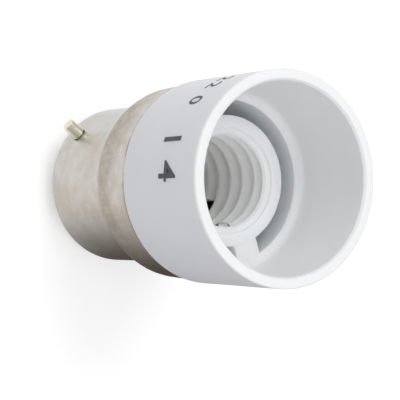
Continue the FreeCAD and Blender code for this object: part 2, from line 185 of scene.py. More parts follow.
def paintNickel(graph, place):
    look = nickelLook
    x, y, z = graph.split(place)
    lines = graph.noise(graph.stretched(place, (60, 60, 5200)), 1.0, 4.0, 0.6)
    broadLines = graph.noise(graph.stretched(place, (45, 45, 900)), 1.0, 2.0)
    clouds = graph.noise(place, 190, 3.0, 0.55)
    blotches = graph.noise(place, 620, 4.0, 0.65)
    streaks = graph.noise(graph.stretched(place, (1500, 1500, 130)), 1.0, 4.0, 0.65)
    specks = graph.ramp(graph.noise(place, 2600, 2.0), 0.66, 0.75)
    # the flare is duller and painted browner and darker than the straight barrel, partly stain and partly
    # painted shade; grime and painted shade darken the seam
    flare = graph.above(z, look["flareFoot"]) * graph.below(z, look["flareTop"])
    seam = graph.above(z, look["seamFoot"]) * graph.ramp(clouds + blotches * 0.4, 0.5, 0.75)
    collar = graph.above(z, look["collarFoot"])
    radius = graph.maths("SQRT", x * x + y * y)
    # painted reflection: the nickel is tinted browner towards one side about Z
    warmReflection = graph.along(x, y, look["warmReflectionSide"]) / radius
    patch = graph.ramp(graph.along(x, y, look["patchSide"]) / radius + clouds * 0.15, *look["patchEdge"])
    patch = patch * graph.above(z, look["patchFoot"]) * graph.below(z, look["patchTop"])
    tint = clouds * 1.5 + blotches * 0.9 + flare * 0.35 + collar * 0.22 + warmReflection * 0.3 - 0.88
    # stains on the flare and collar; on the flare this is partly painted shade
    stainAndShade = (flare + collar * 0.35) * graph.ramp(blotches + streaks * 0.8, 0.55, 1.15) * 0.75
    stainAndShade = stainAndShade * (1 - patch * 0.5) + patch * (blotches * 0.6 + 0.22)
    colour = graph.blendColours(graph.ramp(tint, 0.0, 1.0), look["plate"], look["warm"])
    stainedAndShaded = graph.blendColours(stainAndShade, colour, look["stainAndShade"])
    wear = graph.ramp(streaks, 0.52, 0.85) * 0.22 + specks * 0.2
    worn = graph.blendColours(wear, stainedAndShaded, look["stainAndShade"])
    # grime and painted shade darken the seam
    dustAndShade = graph.blendColours(seam * 0.6, worn, look["seam"])
    rough = clouds * 0.12 + lines * 0.10 + blotches * 0.10 + flare * 0.05 + look["roughness"] - 0.15
    height = lines + broadLines * 1.5 + blotches * 1.2
    return {"Base Color": dustAndShade, "Metallic": 1.0, "Roughness": rough}, height, look["lineDepth"]


brassLook = {
    "bright": (0.82, 0.79, 0.65, 1),
    "dull": (0.58, 0.53, 0.36, 1),
    "roughness": 0.36,
    "lineDepth": 0.0025 * mm,
}


def paintBrass(graph, place):
    look = brassLook
    clouds = graph.noise(place, 420, 4.0, 0.6)
    tarnish = graph.ramp(graph.noise(place, 1300, 5.0, 0.7), 0.45, 0.8)
    turning = graph.noise(graph.stretched(place, (2600, 500, 2600)), 1.0, 2.0)
    colour = graph.blendColours(tarnish * 0.55 + clouds * 0.2, look["bright"], look["dull"])
    rough = clouds * 0.2 + tarnish * 0.12 + look["roughness"] - 0.08
    return {"Base Color": colour, "Metallic": 1.0, "Roughness": rough}, turning + clouds, look["lineDepth"]


stripLook = {
    "bright": (0.77, 0.765, 0.72, 1),
    "dull": (0.62, 0.585, 0.50, 1),
    # the painted shade of the side contact's nose
    "noseShade": (0.10, 0.09, 0.07, 1),
    "roughness": 0.32,
    "lineDepth": 0.002 * mm,
    # the painted shade on the side contact's nose: where it begins from the strip's middle, and its heights
    "noseEdge": (0.66, 0.84), "noseFoot": (27.4, 28.2), "noseTip": (29.05, 29.18),
}


def paintStrip(graph, place):
    look = stripLook
    rolled = graph.noise(graph.stretched(place, (900, 900, 180)), 1.0, 4.0, 0.6)
    clouds = graph.noise(place, 500, 4.0, 0.6)
    dullness = graph.ramp(clouds + rolled * 0.4, 0.45, 1.0)
    colour = graph.blendColours(dullness, look["bright"], look["dull"])
    # the side contact's nose is painted black at its edges and under its tip as painted shade, and stays
    # bright in its middle
    x, y, z = graph.split(place)
    aside = graph.beside(x, y, housing["sideAngle"])
    edge = graph.maths("MAXIMUM", graph.above(aside, look["noseEdge"]), graph.below(z, look["noseTip"]))
    noseShade = edge * graph.above(z, look["noseFoot"]) * 0.9
    colour = graph.blendColours(noseShade, colour, look["noseShade"])
    rough = rolled * 0.15 + clouds * 0.1 + look["roughness"] - 0.1
    height = rolled + clouds * 0.5
    return {"Base Color": colour, "Metallic": 1.0, "Roughness": rough}, height, look["lineDepth"]


housing = {
    "seam": 27.25, "rim": 45.0, "seamRadius": 13.78, "mouthRadius": 14.1, "edge": 0.2,
    "mouthInner": 12.56, "mouthChamfer": 0.28, "mouthChamferDepth": 0.36,
    "cupFloor": 31.6, "cupFloorRadius": 12.1, "grooveOuter": 10.92, "grooveInner": 8.8,
    "grooveFloor": 22.5, "leadIn": 0.8, "reliefRadius": 6.7, "boreFloor": 14.6,
    # the shallow step in the boss's face
    "stepRadius": 7.12, "stepDepth": 0.42, "stepInner": 6.5, "stepRounding": 0.2, "stepEdge": 0.15,
    "rimRounding": 0.25, "chamferTop": 0.12, "chamferFoot": 0.35, "wallFoot": 0.95, "grooveEdge": 0.16,
    "corner": 0.3,
    "chamberTop": 12.6, "chamberRadius": 8.65, "skirtRadius": 10.5, "skirtEnd": 5.2,
    "spigotEnd": 20.75, "spigotRadius": 12.62, "spigotSeam": 13.0,
    "bridgeAngle": -33.0, "bridgeWidth": 3.7, "bridgeThickness": 1.6,
    "sideAngle": -44.7, "windowHalf": 1.25, "windowHeight": 4.2, "slotOuter": 9.935, "slotInner": 8.15,
    "slotLow": 11.9, "portAngle": 11.1, "portHalf": 0.8, "portRadius": 8.05, "portHigh": 19.5,
    "pinBore": 0.82, "pinHeight": 6.6, "segments": 200,
    # the cutters: past the bore's crest and the skirt, short of the groove's wall, above the groove's floor
    "windowPast": 0.8, "portPast": 0.4, "pinPast": 1.5, "windowShort": 1.0, "slotRise": 0.5,
    "bridgeSink": 0.004,  # keeps the bridges' tops just off the ring's face
}


whiteLook = {
    "body": (0.88, 0.888, 0.89, 1),
    "shade": (0.845, 0.853, 0.856, 1),
    # painted shade: the outside of the cup is painted darker than the inside
    "shadedOutside": (0.75, 0.752, 0.778, 1),  # the outside of the cup
    "roughness": 0.42,
    "glowDepth": 2.2 * mm, "glowShare": 0.45,  # how far light wanders in the moulding
    "grainDepth": 0.004 * mm,
    # painted light: the bore and the rim are painted lighter
    "litPale": (0.965, 0.97, 0.955, 1),  # the bore and the rim
    # painted shade: the groove and the boss's face are painted darker and cooler
    "coolShade": (0.825, 0.85, 0.864, 1),  # the groove and the boss's face
    "dust": (0.50, 0.49, 0.47, 1),
    # painted shade: the inside of the opening low in the bore
    "hollowShade": (0.035, 0.042, 0.040, 1),
    # radii and heights in millimetres between which one white passes into the next
    "outsideRadius": (13.3, 13.7), "outsideTop": (44.75, 44.95), "rimHeight": (44.45, 44.65),
    "boreTop": (30.2, 31.0), "boreRadius": (7.0, 7.3), "bossRadius": (8.85, 9.0),
    "grooveInner": (8.6, 8.75), "grooveOuter": (11.0, 11.15),
    # the same for the opening low in the bore, measured outward, up and to its side
    "portInner": (6.75, 7.0), "portOuter": (8.2, 8.3),
    "portFoot": (12.7, 13.2), "portTop": (19.52, 19.56), "portSide": (0.82, 0.86),
}


def paintWhite(graph, place):
    look = whiteLook
    clouds = graph.noise(place, 110, 4.0, 0.6)
    flow = graph.noise(graph.stretched(place, (70, 70, 260)), 1.0, 3.0)
    grain = graph.noise(place, 5200, 2.0, 0.5)
    specks = graph.ramp(graph.noise(place, 1500, 2.0), 0.70, 0.76)
    shading = graph.ramp(clouds + flow * 0.6, 0.4, 1.2)
    colour = graph.blendColours(shading, look["body"], look["shade"])
    x, y, z = graph.split(place)
    radius = graph.maths("SQRT", x * x + y * y)
    # the outside of the cup painted darker: painted shade
    outside = graph.above(radius, look["outsideRadius"]) * graph.below(z, look["outsideTop"])
    colour = graph.blendColours(outside * (0.85 + clouds * 0.3), colour, look["shadedOutside"])
    low = graph.below(z, look["boreTop"])
    bore = low * graph.below(radius, look["boreRadius"])
    rim = graph.above(z, look["rimHeight"])
    # painted light: the bore and the rim are painted lighter
    colour = graph.blendColours(rim * 0.5 + bore, colour, look["litPale"])
    boss = (1 - low) * graph.below(radius, look["bossRadius"])
    groove = low * graph.above(radius, look["grooveInner"]) * graph.below(radius, look["grooveOuter"])
    # painted shade: the groove and the boss's face are painted darker and cooler
    colour = graph.blendColours(boss * 0.55 + groove, colour, look["coolShade"])
    dustAndShade = graph.blendColours(specks * 0.16, colour, look["dust"])
    # the opening low in the bore is painted nearly black inside as painted shade, because the photograph
    # shows it so
    outward = graph.along(x, y, housing["portAngle"])
    aside = graph.beside(x, y, housing["portAngle"])
    port = graph.above(outward, look["portInner"]) * graph.below(outward, look["portOuter"])
    port = port * graph.below(z, look["portTop"]) * graph.above(z, look["portFoot"])
    port = port * graph.below(aside, look["portSide"])
    dustAndShade = graph.blendColours(port, dustAndShade, look["hollowShade"])
    rough = clouds * 0.10 + grain * 0.08 + look["roughness"] - 0.09
    height = grain + graph.noise(place, 700, 3.0) * 1.4
    return {
        "Base Color": dustAndShade, "Roughness": rough, "IOR": 1.49,
        "Specular IOR Level": 0.42, "Subsurface Weight": look["glowShare"],
        "Subsurface Scale": look["glowDepth"], "Subsurface Radius": (1, 1, 1),
    }, height, look["grainDepth"]


ivoryLook = {
    "body": (0.76, 0.74, 0.68, 1),
    "shade": (0.66, 0.63, 0.55, 1),
    "roughness": 0.55,
    "grainDepth": 0.006 * mm,
}


def paintIvory(graph, place):
    clouds = graph.noise(place, 260, 5.0, 0.6)
    grain = graph.noise(place, 4200, 3.0, 0.6)
    colour = graph.blendColours(graph.ramp(clouds, 0.3, 0.8), ivoryLook["body"], ivoryLook["shade"])
    rough = clouds * 0.12 + grain * 0.10 + ivoryLook["roughness"] - 0.1
    return {"Base Color": colour, "Roughness": rough, "IOR": 1.5}, grain + clouds, ivoryLook["grainDepth"]


inkLook = {
    "dark": (0.022, 0.023, 0.028, 1),
    "worn": (0.075, 0.075, 0.085, 1),
    "roughness": 0.5,
    "grainDepth": 0.002 * mm,
}


def paintInk(graph, place):
    clouds = graph.noise(place, 900, 4.0, 0.7)
    grain = graph.noise(place, 6000, 2.0)
    colour = graph.blendColours(graph.ramp(clouds + grain * 0.5, 0.6, 1.1), inkLook["dark"], inkLook["worn"])
    rough = grain * 0.15 + inkLook["roughness"] - 0.07
    return {"Base Color": colour, "Roughness": rough}, grain, inkLook["grainDepth"]


surfaces = {
    "ink": newSurface("printedInk", paintInk),
    "nickel": newSurface("satinNickelPlate", paintNickel),
    "brass": newSurface("turnedBrass", paintBrass),
    "contact_strip": newSurface("rolledBrassStrip", paintStrip),
    "white_plastic": newSurface("whiteMouldedPlastic", paintWhite),
    "ivory_plastic": newSurface("ivoryMouldedPlastic", paintIvory),
}
print("surfaces made")


# corners (radius, height, rounding) of an outline become points, each rounding an arc that touches both sides
def roundedOutline(corners, closed):
    points = []
    count = len(corners)
    for i, corner in enumerate(corners):
        here = Vector(corner[:2])
        rounding = corner[2] if len(corner) > 2 else 0
        inside = closed or 0 < i < count - 1
        if not rounding or not inside:
            points.append(tuple(here))
            continue
        before = (Vector(corners[i - 1][:2]) - here).normalized()
        after = (Vector(corners[(i + 1) % count][:2]) - here).normalized()
        half = before.angle(after) / 2
        reach = rounding / math.tan(half)
        centre = here + (before + after).normalized() * (rounding / math.sin(half))
        first = here + before * reach - centre
        last = here + after * reach - centre
        turn = (math.pi - 2 * half) * (1 if first.cross(last) > 0 else -1)
        steps = max(3, min(14, round(abs(math.degrees(turn)) / 8)))  # about one for each 8 degrees
        for k in range(steps + 1):
            angle = turn * k / steps
            arm = Vector((
                first.x * math.cos(angle) - first.y * math.sin(angle),
                first.x * math.sin(angle) + first.y * math.cos(angle)))
            points.append(tuple(centre + arm))
    return points


# turns outlines of (radius, height) in millimetres about Z; a radius of 0 closes on a pole
def turnedMesh(name, outlines, segments, closed=True):
    shape = bmesh.new()
    for outline in outlines:
        rings = []
        for radius, height in outline:
            if abs(radius) < 1e-6:
                rings.append([shape.verts.new((0, 0, height * mm))])
                continue
            ring = []
            for k in range(segments):
                angle = 2 * math.pi * k / segments
                ring.append(shape.verts.new((
                    radius * mm * math.cos(angle), radius * mm * math.sin(angle), height * mm)))
            rings.append(ring)
        pairs = list(zip(rings, rings[1:]))
        if closed:
            pairs.append((rings[-1], rings[0]))
        for lower, upper in pairs:
            for k in range(segments):
                corners = [lower[k % len(lower)], lower[(k + 1) % len(lower)],
                           upper[(k + 1) % len(upper)], upper[k % len(upper)]]
                unique = list(dict.fromkeys(corners))
                if len(unique) > 2:
                    shape.faces.new(unique)
    mesh = bpy.data.meshes.new(name)
    shape.to_mesh(mesh)
    shape.free()
    return newObject(name, mesh)


def newObject(name, mesh):
    thing = bpy.data.objects.new(name, mesh)
    bpy.context.scene.collection.objects.link(thing)
    return thing


# doubles merged, normals outward, smooth faces with sharp edges kept
def tidyMesh(thing, sharpAngle=32, merge=2e-7):
    shape = bmesh.new()
    shape.from_mesh(thing.data)
    bmesh.ops.remove_doubles(shape, verts=shape.verts, dist=merge)
    bmesh.ops.recalc_face_normals(shape, faces=shape.faces)
    for face in shape.faces:
        face.smooth = True
    shape.to_mesh(thing.data)
    shape.free()
    thing.data.set_sharp_from_angle(angle=math.radians(sharpAngle))
    return thing


# the result of an object's modifiers as a plain mesh
def settle(thing):
    graph = bpy.context.evaluated_depsgraph_get()
    mesh = bpy.data.meshes.new_from_object(thing.evaluated_get(graph))
    thing.modifiers.clear()
    old = thing.data
    thing.data = mesh
    mesh.name = thing.name
    bpy.data.meshes.remove(old)
    return thing


def combine(thing, tool, operation):
    change = thing.modifiers.new("cut", "BOOLEAN")
    change.operation = operation
    change.solver = "EXACT"
    change.object = tool
    settle(thing)
    bpy.data.objects.remove(tool)
    return thing


def block(corners, angle=0):
    (x0, x1), (y0, y1), (z0, z1) = corners
    shape = bmesh.new()
    bmesh.ops.create_cube(shape, size=1)
    middle = Vector(((x0 + x1) / 2, (y0 + y1) / 2, (z0 + z1) / 2)) * mm
    size = Matrix.Diagonal((abs(x1 - x0) * mm, abs(y1 - y0) * mm, abs(z1 - z0) * mm, 1))
    turn = Matrix.Rotation(math.radians(angle), 4, "Z")
    shape.transform(turn @ Matrix.Translation(middle) @ size)
    mesh = bpy.data.meshes.new("block")
    shape.to_mesh(mesh)
    shape.free()
    return newObject("block", mesh)


# a round bar between two points, in millimetres
def bar(radius, start, finish, segments=48):
    start, finish = Vector(start) * mm, Vector(finish) * mm
    along = finish - start
    shape = bmesh.new()
    bmesh.ops.create_cone(
        shape, cap_ends=True, segments=segments, radius1=radius * mm, radius2=radius * mm, depth=along.length)
    turn = along.to_track_quat("Z", "Y").to_matrix().to_4x4()
    shape.transform(Matrix.Translation((start + finish) / 2) @ turn)
    mesh = bpy.data.meshes.new("bar")
    shape.to_mesh(mesh)
    shape.free()
    return newObject("bar", mesh)


def joinTools(tools):
    shape = bmesh.new()
    for tool in tools:
        shape.from_mesh(tool.data)
        bpy.data.objects.remove(tool)
    mesh = bpy.data.meshes.new("tools")
    shape.to_mesh(mesh)
    shape.free()
    return newObject("tools", mesh)


def dress(thing, slotName, body, *replaced):
    thing.data.materials.clear()
    thing.data.materials.append(surfaces[slotName])
    if body:
        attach(thing, body)
    if replaced:
        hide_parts(*replaced)
    print(thing.name, len(thing.data.polygons), "faces")
    return thing


barrel = {
    "radius": 11.0, "sheet": 0.4, "rear": 2.5, "lip": 9.4, "rearRounding": 1.0,
    "flareStart": 16.65, "flareEnd": 19.45, "flareRadius": 13.12, "flareRounding": 3.5,
    "collarRadius": 13.5, "collarEnd": 27.15, "edge": 0.12,
    "pinHeight": 6.6, "pinHole": 1.012, "pinPast": 1.5, "segments": 256,
}


def makeBarrel():
    b = barrel
    bend = b["sheet"] * 0.34  # the sheet's inner corners lie a little higher than its outer ones
    inner = b["radius"] - b["sheet"]
    outline = roundedOutline([
        (b["lip"], b["rear"], b["edge"]),
        (b["radius"], b["rear"], b["rearRounding"]),
        (b["radius"], b["flareStart"], b["flareRounding"]),
        (b["flareRadius"], b["flareEnd"], b["flareRounding"]),
        (b["collarRadius"], b["collarEnd"], b["edge"]),
        (b["collarRadius"] - b["sheet"], b["collarEnd"], b["edge"]),
        (b["flareRadius"] - b["sheet"], b["flareEnd"] + bend, b["flareRounding"] - b["sheet"]),
        (inner, b["flareStart"] + bend, b["flareRounding"] + b["sheet"]),
        (inner, b["rear"] + b["sheet"], b["rearRounding"] - b["sheet"]),
        (b["lip"], b["rear"] + b["sheet"], b["edge"]),
    ], closed=True)
    shell = tidyMesh(turnedMesh("barrelShell", [outline], b["segments"]))
    reach = b["collarRadius"] + b["pinPast"]
    hole = bar(b["pinHole"], (-reach, 0, b["pinHeight"]), (reach, 0, b["pinHeight"]))
    combine(shell, hole, "DIFFERENCE")
    return dress(tidyMesh(shell), "nickel", "adapter", "bayonet_barrel")


pin = {
    "start": 8.8, "shank": 0.8, "shoulder": 11.15, "radius": 1.0, "tip": 13.4,
    "tipRadius": 0.9, "tipRounding": 0.14, "shoulderEdge": 0.05, "height": 6.6,
}


def makePin(name, side, node):
    p = pin
    outline = roundedOutline([
        (0, p["start"]), (p["shank"], p["start"]), (p["shank"], p["shoulder"]),
        (p["radius"], p["shoulder"], p["shoulderEdge"]), (p["tipRadius"], p["tip"], p["tipRounding"]),
        (0, p["tip"]),
    ], closed=False)
    turned = turnedMesh(name, [outline], 64, closed=False)
    lay = Matrix.Rotation(math.radians(90 * side), 4, "Y")
    turned.data.transform(Matrix.Translation((0, 0, p["height"] * mm)) @ lay)
    return dress(tidyMesh(turned), "brass", "adapter", node)


thread = {
    "crestRadius": 6.15, "rootRadius": 6.98, "pitch": 2.822,
    "crestHeight": 28.75, "crestAngle": 39.3,  # one place where the crest is seen
    "lower": 17.2, "upper": 30.8, "runOut": 0.6, "rows": 132,
}


# a grid rolled into a tube, its radius rising and falling along a right-handed helix
def makeThread(segments):
    t = thread
    tree = bpy.data.node_groups.new("threadedBore", "GeometryNodeTree")
    names = ["Crest Radius", "Root Radius", "Pitch", "Crest Height", "Crest Angle",
             "Lower End", "Upper End", "Run Out"]
    tree.interface.new_socket(name="Geometry", in_out="INPUT", socket_type="NodeSocketGeometry")
    for name in names:
        tree.interface.new_socket(name=name, in_out="INPUT", socket_type="NodeSocketFloat")
    tree.interface.new_socket(name="Geometry", in_out="OUTPUT", socket_type="NodeSocketGeometry")
    graph = Graph(tree)
    given = graph.add("NodeGroupInput")
    sockets = [graph.out(given, name) for name in names]
    crest, root, pitch, crestHeight, crestAngle, lower, upper, runOut = sockets
    grid = graph.add(
        "GeometryNodeMeshGrid", None,
        {"Size X": 1.0, "Size Y": 1.0, "Vertices X": segments + 1, "Vertices Y": t["rows"]})
    x, y = graph.split(graph.out(graph.add("GeometryNodeInputPosition")))[:2]
    turns = x + 0.5
    height = lower + (upper - lower) * (y + 0.5)
    phase = (height - crestHeight) / pitch - turns + crestAngle
    wave = 0.5 - graph.maths("COSINE", phase * (2 * math.pi)) * 0.5
    fade = graph.ramp((height - lower) / runOut, 0.0, 1.0) * graph.ramp((upper - height) / runOut, 0.0, 1.0)
    radius = crest + (root - crest) * wave * fade
    angle = turns * (2 * math.pi)
    rolled = graph.joinXyz(radius * graph.maths("COSINE", angle), radius * graph.maths("SINE", angle), height)
    shaped = graph.add("GeometryNodeSetPosition", None, {"Geometry": graph.out(grid), "Position": rolled})
    seam = graph.add("GeometryNodeMergeByDistance", None, {"Geometry": graph.out(shaped), "Distance": 1e-6})
    real = graph.add("GeometryNodeRealizeInstances", None, {"Geometry": graph.out(seam)})
    painted = graph.add(
        "GeometryNodeSetMaterial", None, {"Geometry": graph.out(real), "Material": surfaces["white_plastic"]})
    graph.add("NodeGroupOutput", None, {"Geometry": graph.out(painted)})
    tube = newObject("threadTube", bpy.data.meshes.new("threadTube"))
    bore = tube.modifiers.new("threadedBore", "NODES")
    bore.node_group = tree
    values = [t["crestRadius"] * mm, t["rootRadius"] * mm, t["pitch"] * mm, t["crestHeight"] * mm,
              t["crestAngle"] / 360, t["lower"] * mm, t["upper"] * mm, t["runOut"] * mm]
    inputs = [item for item in tree.interface.items_tree if item.in_out == "INPUT"][1:]
    for item, value in zip(inputs, values):
        bore[item.identifier] = value
    return settle(tube)


# the moulding outside the thread, from its rear chamber round the skirt and the mouth to the boss
def mouldingOutline():
    h = housing
    t = thread
    return roundedOutline([
        (0, h["chamberTop"]),
        (h["chamberRadius"], h["chamberTop"]),
        (h["chamberRadius"], h["skirtEnd"]),
        (h["skirtRadius"], h["skirtEnd"]),
        (h["skirtRadius"], h["spigotEnd"]),
        (h["spigotRadius"], h["spigotEnd"]),
        (h["spigotSeam"], h["seam"]),
        (h["seamRadius"], h["seam"], h["edge"]),
        (h["mouthRadius"], h["rim"], h["rimRounding"]),
        (h["mouthInner"] + h["mouthChamfer"], h["rim"], h["chamferTop"]),
        (h["mouthInner"], h["rim"] - h["mouthChamferDepth"], h["chamferFoot"]),
        (h["cupFloorRadius"], h["cupFloor"], h["wallFoot"]),
        (h["grooveOuter"], h["cupFloor"], h["grooveEdge"]),
        (h["grooveOuter"], h["grooveFloor"], h["corner"]),
        (h["grooveInner"], h["grooveFloor"], h["corner"]),
        (h["grooveInner"], h["cupFloor"], h["grooveEdge"]),
        (h["stepRadius"], h["cupFloor"], h["stepRounding"]),
        (h["stepRadius"], h["cupFloor"] - h["stepDepth"], h["stepRounding"]),
        (h["stepInner"], h["cupFloor"] - h["stepDepth"], h["stepEdge"]),
        (t["crestRadius"], t["upper"]),
    ], closed=False)


# the relief and the floor of the bore, below the thread
def boreOutline():
    h = housing
    t = thread
    return roundedOutline([
        (t["crestRadius"], t["lower"]),
        (h["reliefRadius"], t["lower"]),
        (h["reliefRadius"], h["boreFloor"], h["corner"]),
        (0, h["boreFloor"]),
    ], closed=False)


def makeMoulding():
    outlines = [mouldingOutline(), boreOutline()]
    moulding = turnedMesh("socketMoulding", outlines, housing["segments"], closed=False)
    shape = bmesh.new()
    shape.from_mesh(moulding.data)
    tube = makeThread(housing["segments"])
    shape.from_mesh(tube.data)
    shape.to_mesh(moulding.data)
    shape.free()
    bpy.data.objects.remove(tube)
    return tidyMesh(moulding, merge=3e-6)


# the two thin bridges that join boss and floor ring across the groove
def makeBridges():
    h = housing
    half = h["bridgeWidth"] / 2
    inner = (thread["crestRadius"] + h["leadIn"] + h["grooveInner"]) / 2
    outer = (h["grooveOuter"] + h["cupFloorRadius"]) / 2
    upward = (h["cupFloor"] - h["bridgeThickness"], h["cupFloor"] - h["bridgeSink"])
    return joinTools([
        block(((inner * s, outer * s), (-half, half), upward), h["bridgeAngle"]) for s in (1, -1)])


# window and slot of the side contact, opening low in the bore, bores of the pins
def makeCutters():
    h = housing
    bore = thread["crestRadius"]
    under = h["cupFloor"] - h["bridgeThickness"]
    across = (-h["windowHalf"], h["windowHalf"])
    outward = (bore - h["windowPast"], h["grooveOuter"] - h["windowShort"])
    window = block((outward, across, (under - h["windowHeight"], under)), h["sideAngle"])
    upward = (h["slotLow"], h["grooveFloor"] + h["slotRise"])
    slot = block(((h["slotInner"], h["slotOuter"]), across, upward), h["sideAngle"])
    across = (-h["portHalf"], h["portHalf"])
    outward = (bore - h["portPast"], h["portRadius"])
    port = block((outward, across, (h["slotLow"], h["portHigh"])), h["portAngle"])
    reach = h["skirtRadius"] + h["pinPast"]
    pins = bar(h["pinBore"], (-reach, 0, h["pinHeight"]), (reach, 0, h["pinHeight"]), 32)
    return joinTools([window, slot, port, pins])


def makeHousing():
    moulding = makeMoulding()
    combine(moulding, makeBridges(), "UNION")
    combine(moulding, makeCutters(), "DIFFERENCE")
    return dress(tidyMesh(moulding, merge=1e-7), "white_plastic", "adapter", "socket_housing")


marks = {
    "height": 0.012, "sink": 0.03, "bold": 0.035,
    "fontShare": 1.36, "cuts": 30,  # font size for one unit of figure height, cuts that let the figures bend
    # text, angle of its middle in degrees, height of its middle, size of the figures, space between them
    "figures": [("14", -153.5, 37.95, 4.3, 1.45), ("22 0", 161.5, 38.3, 2.6, 1.2)],
}


# the figures as flat raised letters, their middle at the origin
def flatFigures(text, size, space):
    writing = bpy.data.curves.new("figures", "FONT")
    writing.body = text
    writing.size = size * marks["fontShare"] * mm
    writing.space_character = space
    writing.align_x = "CENTER"
    writing.align_y = "CENTER"
    writing.extrude = (marks["height"] + marks["sink"]) / 2 * mm
    writing.offset = marks["bold"] * mm
    flat = newObject("figures", writing)
    bpy.context.view_layer.update()
    graph = bpy.context.evaluated_depsgraph_get()
    mesh = bpy.data.meshes.new_from_object(flat.evaluated_get(graph))
    bpy.data.objects.remove(flat)
    piece = bmesh.new()
    piece.from_mesh(mesh)
    bpy.data.meshes.remove(mesh)
    bmesh.ops.remove_doubles(piece, verts=piece.verts, dist=1e-7)
    return piece


# cuts flat figures many times across, then lays them round the cup at this angle and height
def bendRound(piece, angle, height):
    h = housing
    width = max(v.co.x for v in piece.verts)
    steps = marks["cuts"]
    for k in range(-steps, steps + 1):
        everything = piece.verts[:] + piece.edges[:] + piece.faces[:]
        bmesh.ops.bisect_plane(
            piece, geom=everything, dist=1e-8, plane_co=(width * k / steps, 0, 0), plane_no=(1, 0, 0))
    for v in piece.verts:
        z = height * mm + v.co.y
        share = (z / mm - h["seam"]) / (h["rim"] - h["seam"])
        shell = (h["seamRadius"] + (h["mouthRadius"] - h["seamRadius"]) * share) * mm
        radius = shell + v.co.z + (marks["height"] - marks["sink"]) / 2 * mm
        around = math.radians(angle) + v.co.x / shell
        v.co = (radius * math.cos(around), radius * math.sin(around), z)


# printed figures that follow the round cup, read from the side with their tops towards the mouth
def makeMarks():
    shape = bmesh.new()
    for text, angle, height, size, space in marks["figures"]:
        piece = flatFigures(text, size, space)
        bendRound(piece, angle, height)
        spare = bpy.data.meshes.new("spare")
        piece.to_mesh(spare)
        piece.free()
        shape.from_mesh(spare)
        bpy.data.meshes.remove(spare)
    mesh = bpy.data.meshes.new("printedFigures")
    shape.to_mesh(mesh)
    shape.free()
    figures = tidyMesh(newObject("printedFigures", mesh), merge=1e-8)
    figures.data.materials.append(surfaces["ink"])
    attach(figures, "adapter")
    print(figures.name, len(figures.data.polygons), "faces")


base = {
    "proud": 0.4, "noseRadius": 9.3, "noseRounding": 0.5, "noseFoot": 0.1,
    "floor": 2.9, "top": 5.2, "radius": 10.5, "corner": 0.7,
    "seat": 1.0, "seatGap": 0.01,  # height of the recesses' floors, and the contacts' clearance there
    "contactOffset": 5.25, "recess": 2.55, "contactRadius": 2.5, "contactEdge": 0.3,
    "shank": 1.1, "clinchRadius": 1.9, "clinch": 5.6, "head": 0.5, "dome": 0.4,
}


def makeInsulator():
    b = base
    outline = roundedOutline([
        (0, b["proud"]),
        (b["noseRadius"], b["proud"], b["noseRounding"]),
        (b["noseRadius"], b["floor"], b["noseFoot"]),
        (b["radius"] - b["corner"], b["floor"]),
        (b["radius"], b["floor"] + b["corner"]),
        (b["radius"], b["top"]),
        (0, b["top"]),
    ], closed=False)
    disc = tidyMesh(turnedMesh("insulatorDisc", [outline], 192, closed=False))
    recesses = []
    for y in (b["contactOffset"], -b["contactOffset"]):
        recesses.append(bar(b["recess"], (0, y, -1), (0, y, b["seat"]), 64))
    combine(disc, joinTools(recesses), "DIFFERENCE")
    return dress(tidyMesh(disc), "ivory_plastic", "adapter", "base_insulator")


# a flat button with a shank through the insulator, clinched over behind it
def makeContact(name, y, node):
    b = base
    seat = b["seat"] - b["seatGap"]
    profile = roundedOutline([
        (0, 0), (b["contactRadius"], 0, b["contactEdge"]), (b["contactRadius"], seat),
        (b["shank"], seat), (b["shank"], b["clinch"]), (b["clinchRadius"], b["clinch"]),
        (b["clinchRadius"], b["clinch"] + b["head"], b["dome"]), (0, b["clinch"] + b["head"]),
    ], closed=False)
    contact = turnedMesh(name, [profile], 64, closed=False)
    contact.data.transform(Matrix.Translation((0, y * mm, 0)))
    return dress(tidyMesh(contact), "brass", "adapter", node)


springs = {
    "thickness": 0.35, "bend": 0.55, "edge": 0.05,
    "centrePath": [(5.5, 14.775), (2.7, 14.775), (0.7, 16.825), (-0.7, 16.825), (-2.1, 16.325)],
    "centreWidth": 3.4,
    "sidePath": [(3.3, 12.425), (9.26, 12.425), (9.26, 27.0), (5.46, 29.0, 0.3), (6.6, 29.66)],
    "sideWidth": 2.0, "noseFrom": 27.6, "noseRise": 0.8, "crown": 0.20,
    "cuts": 8,  # faces across the width
}


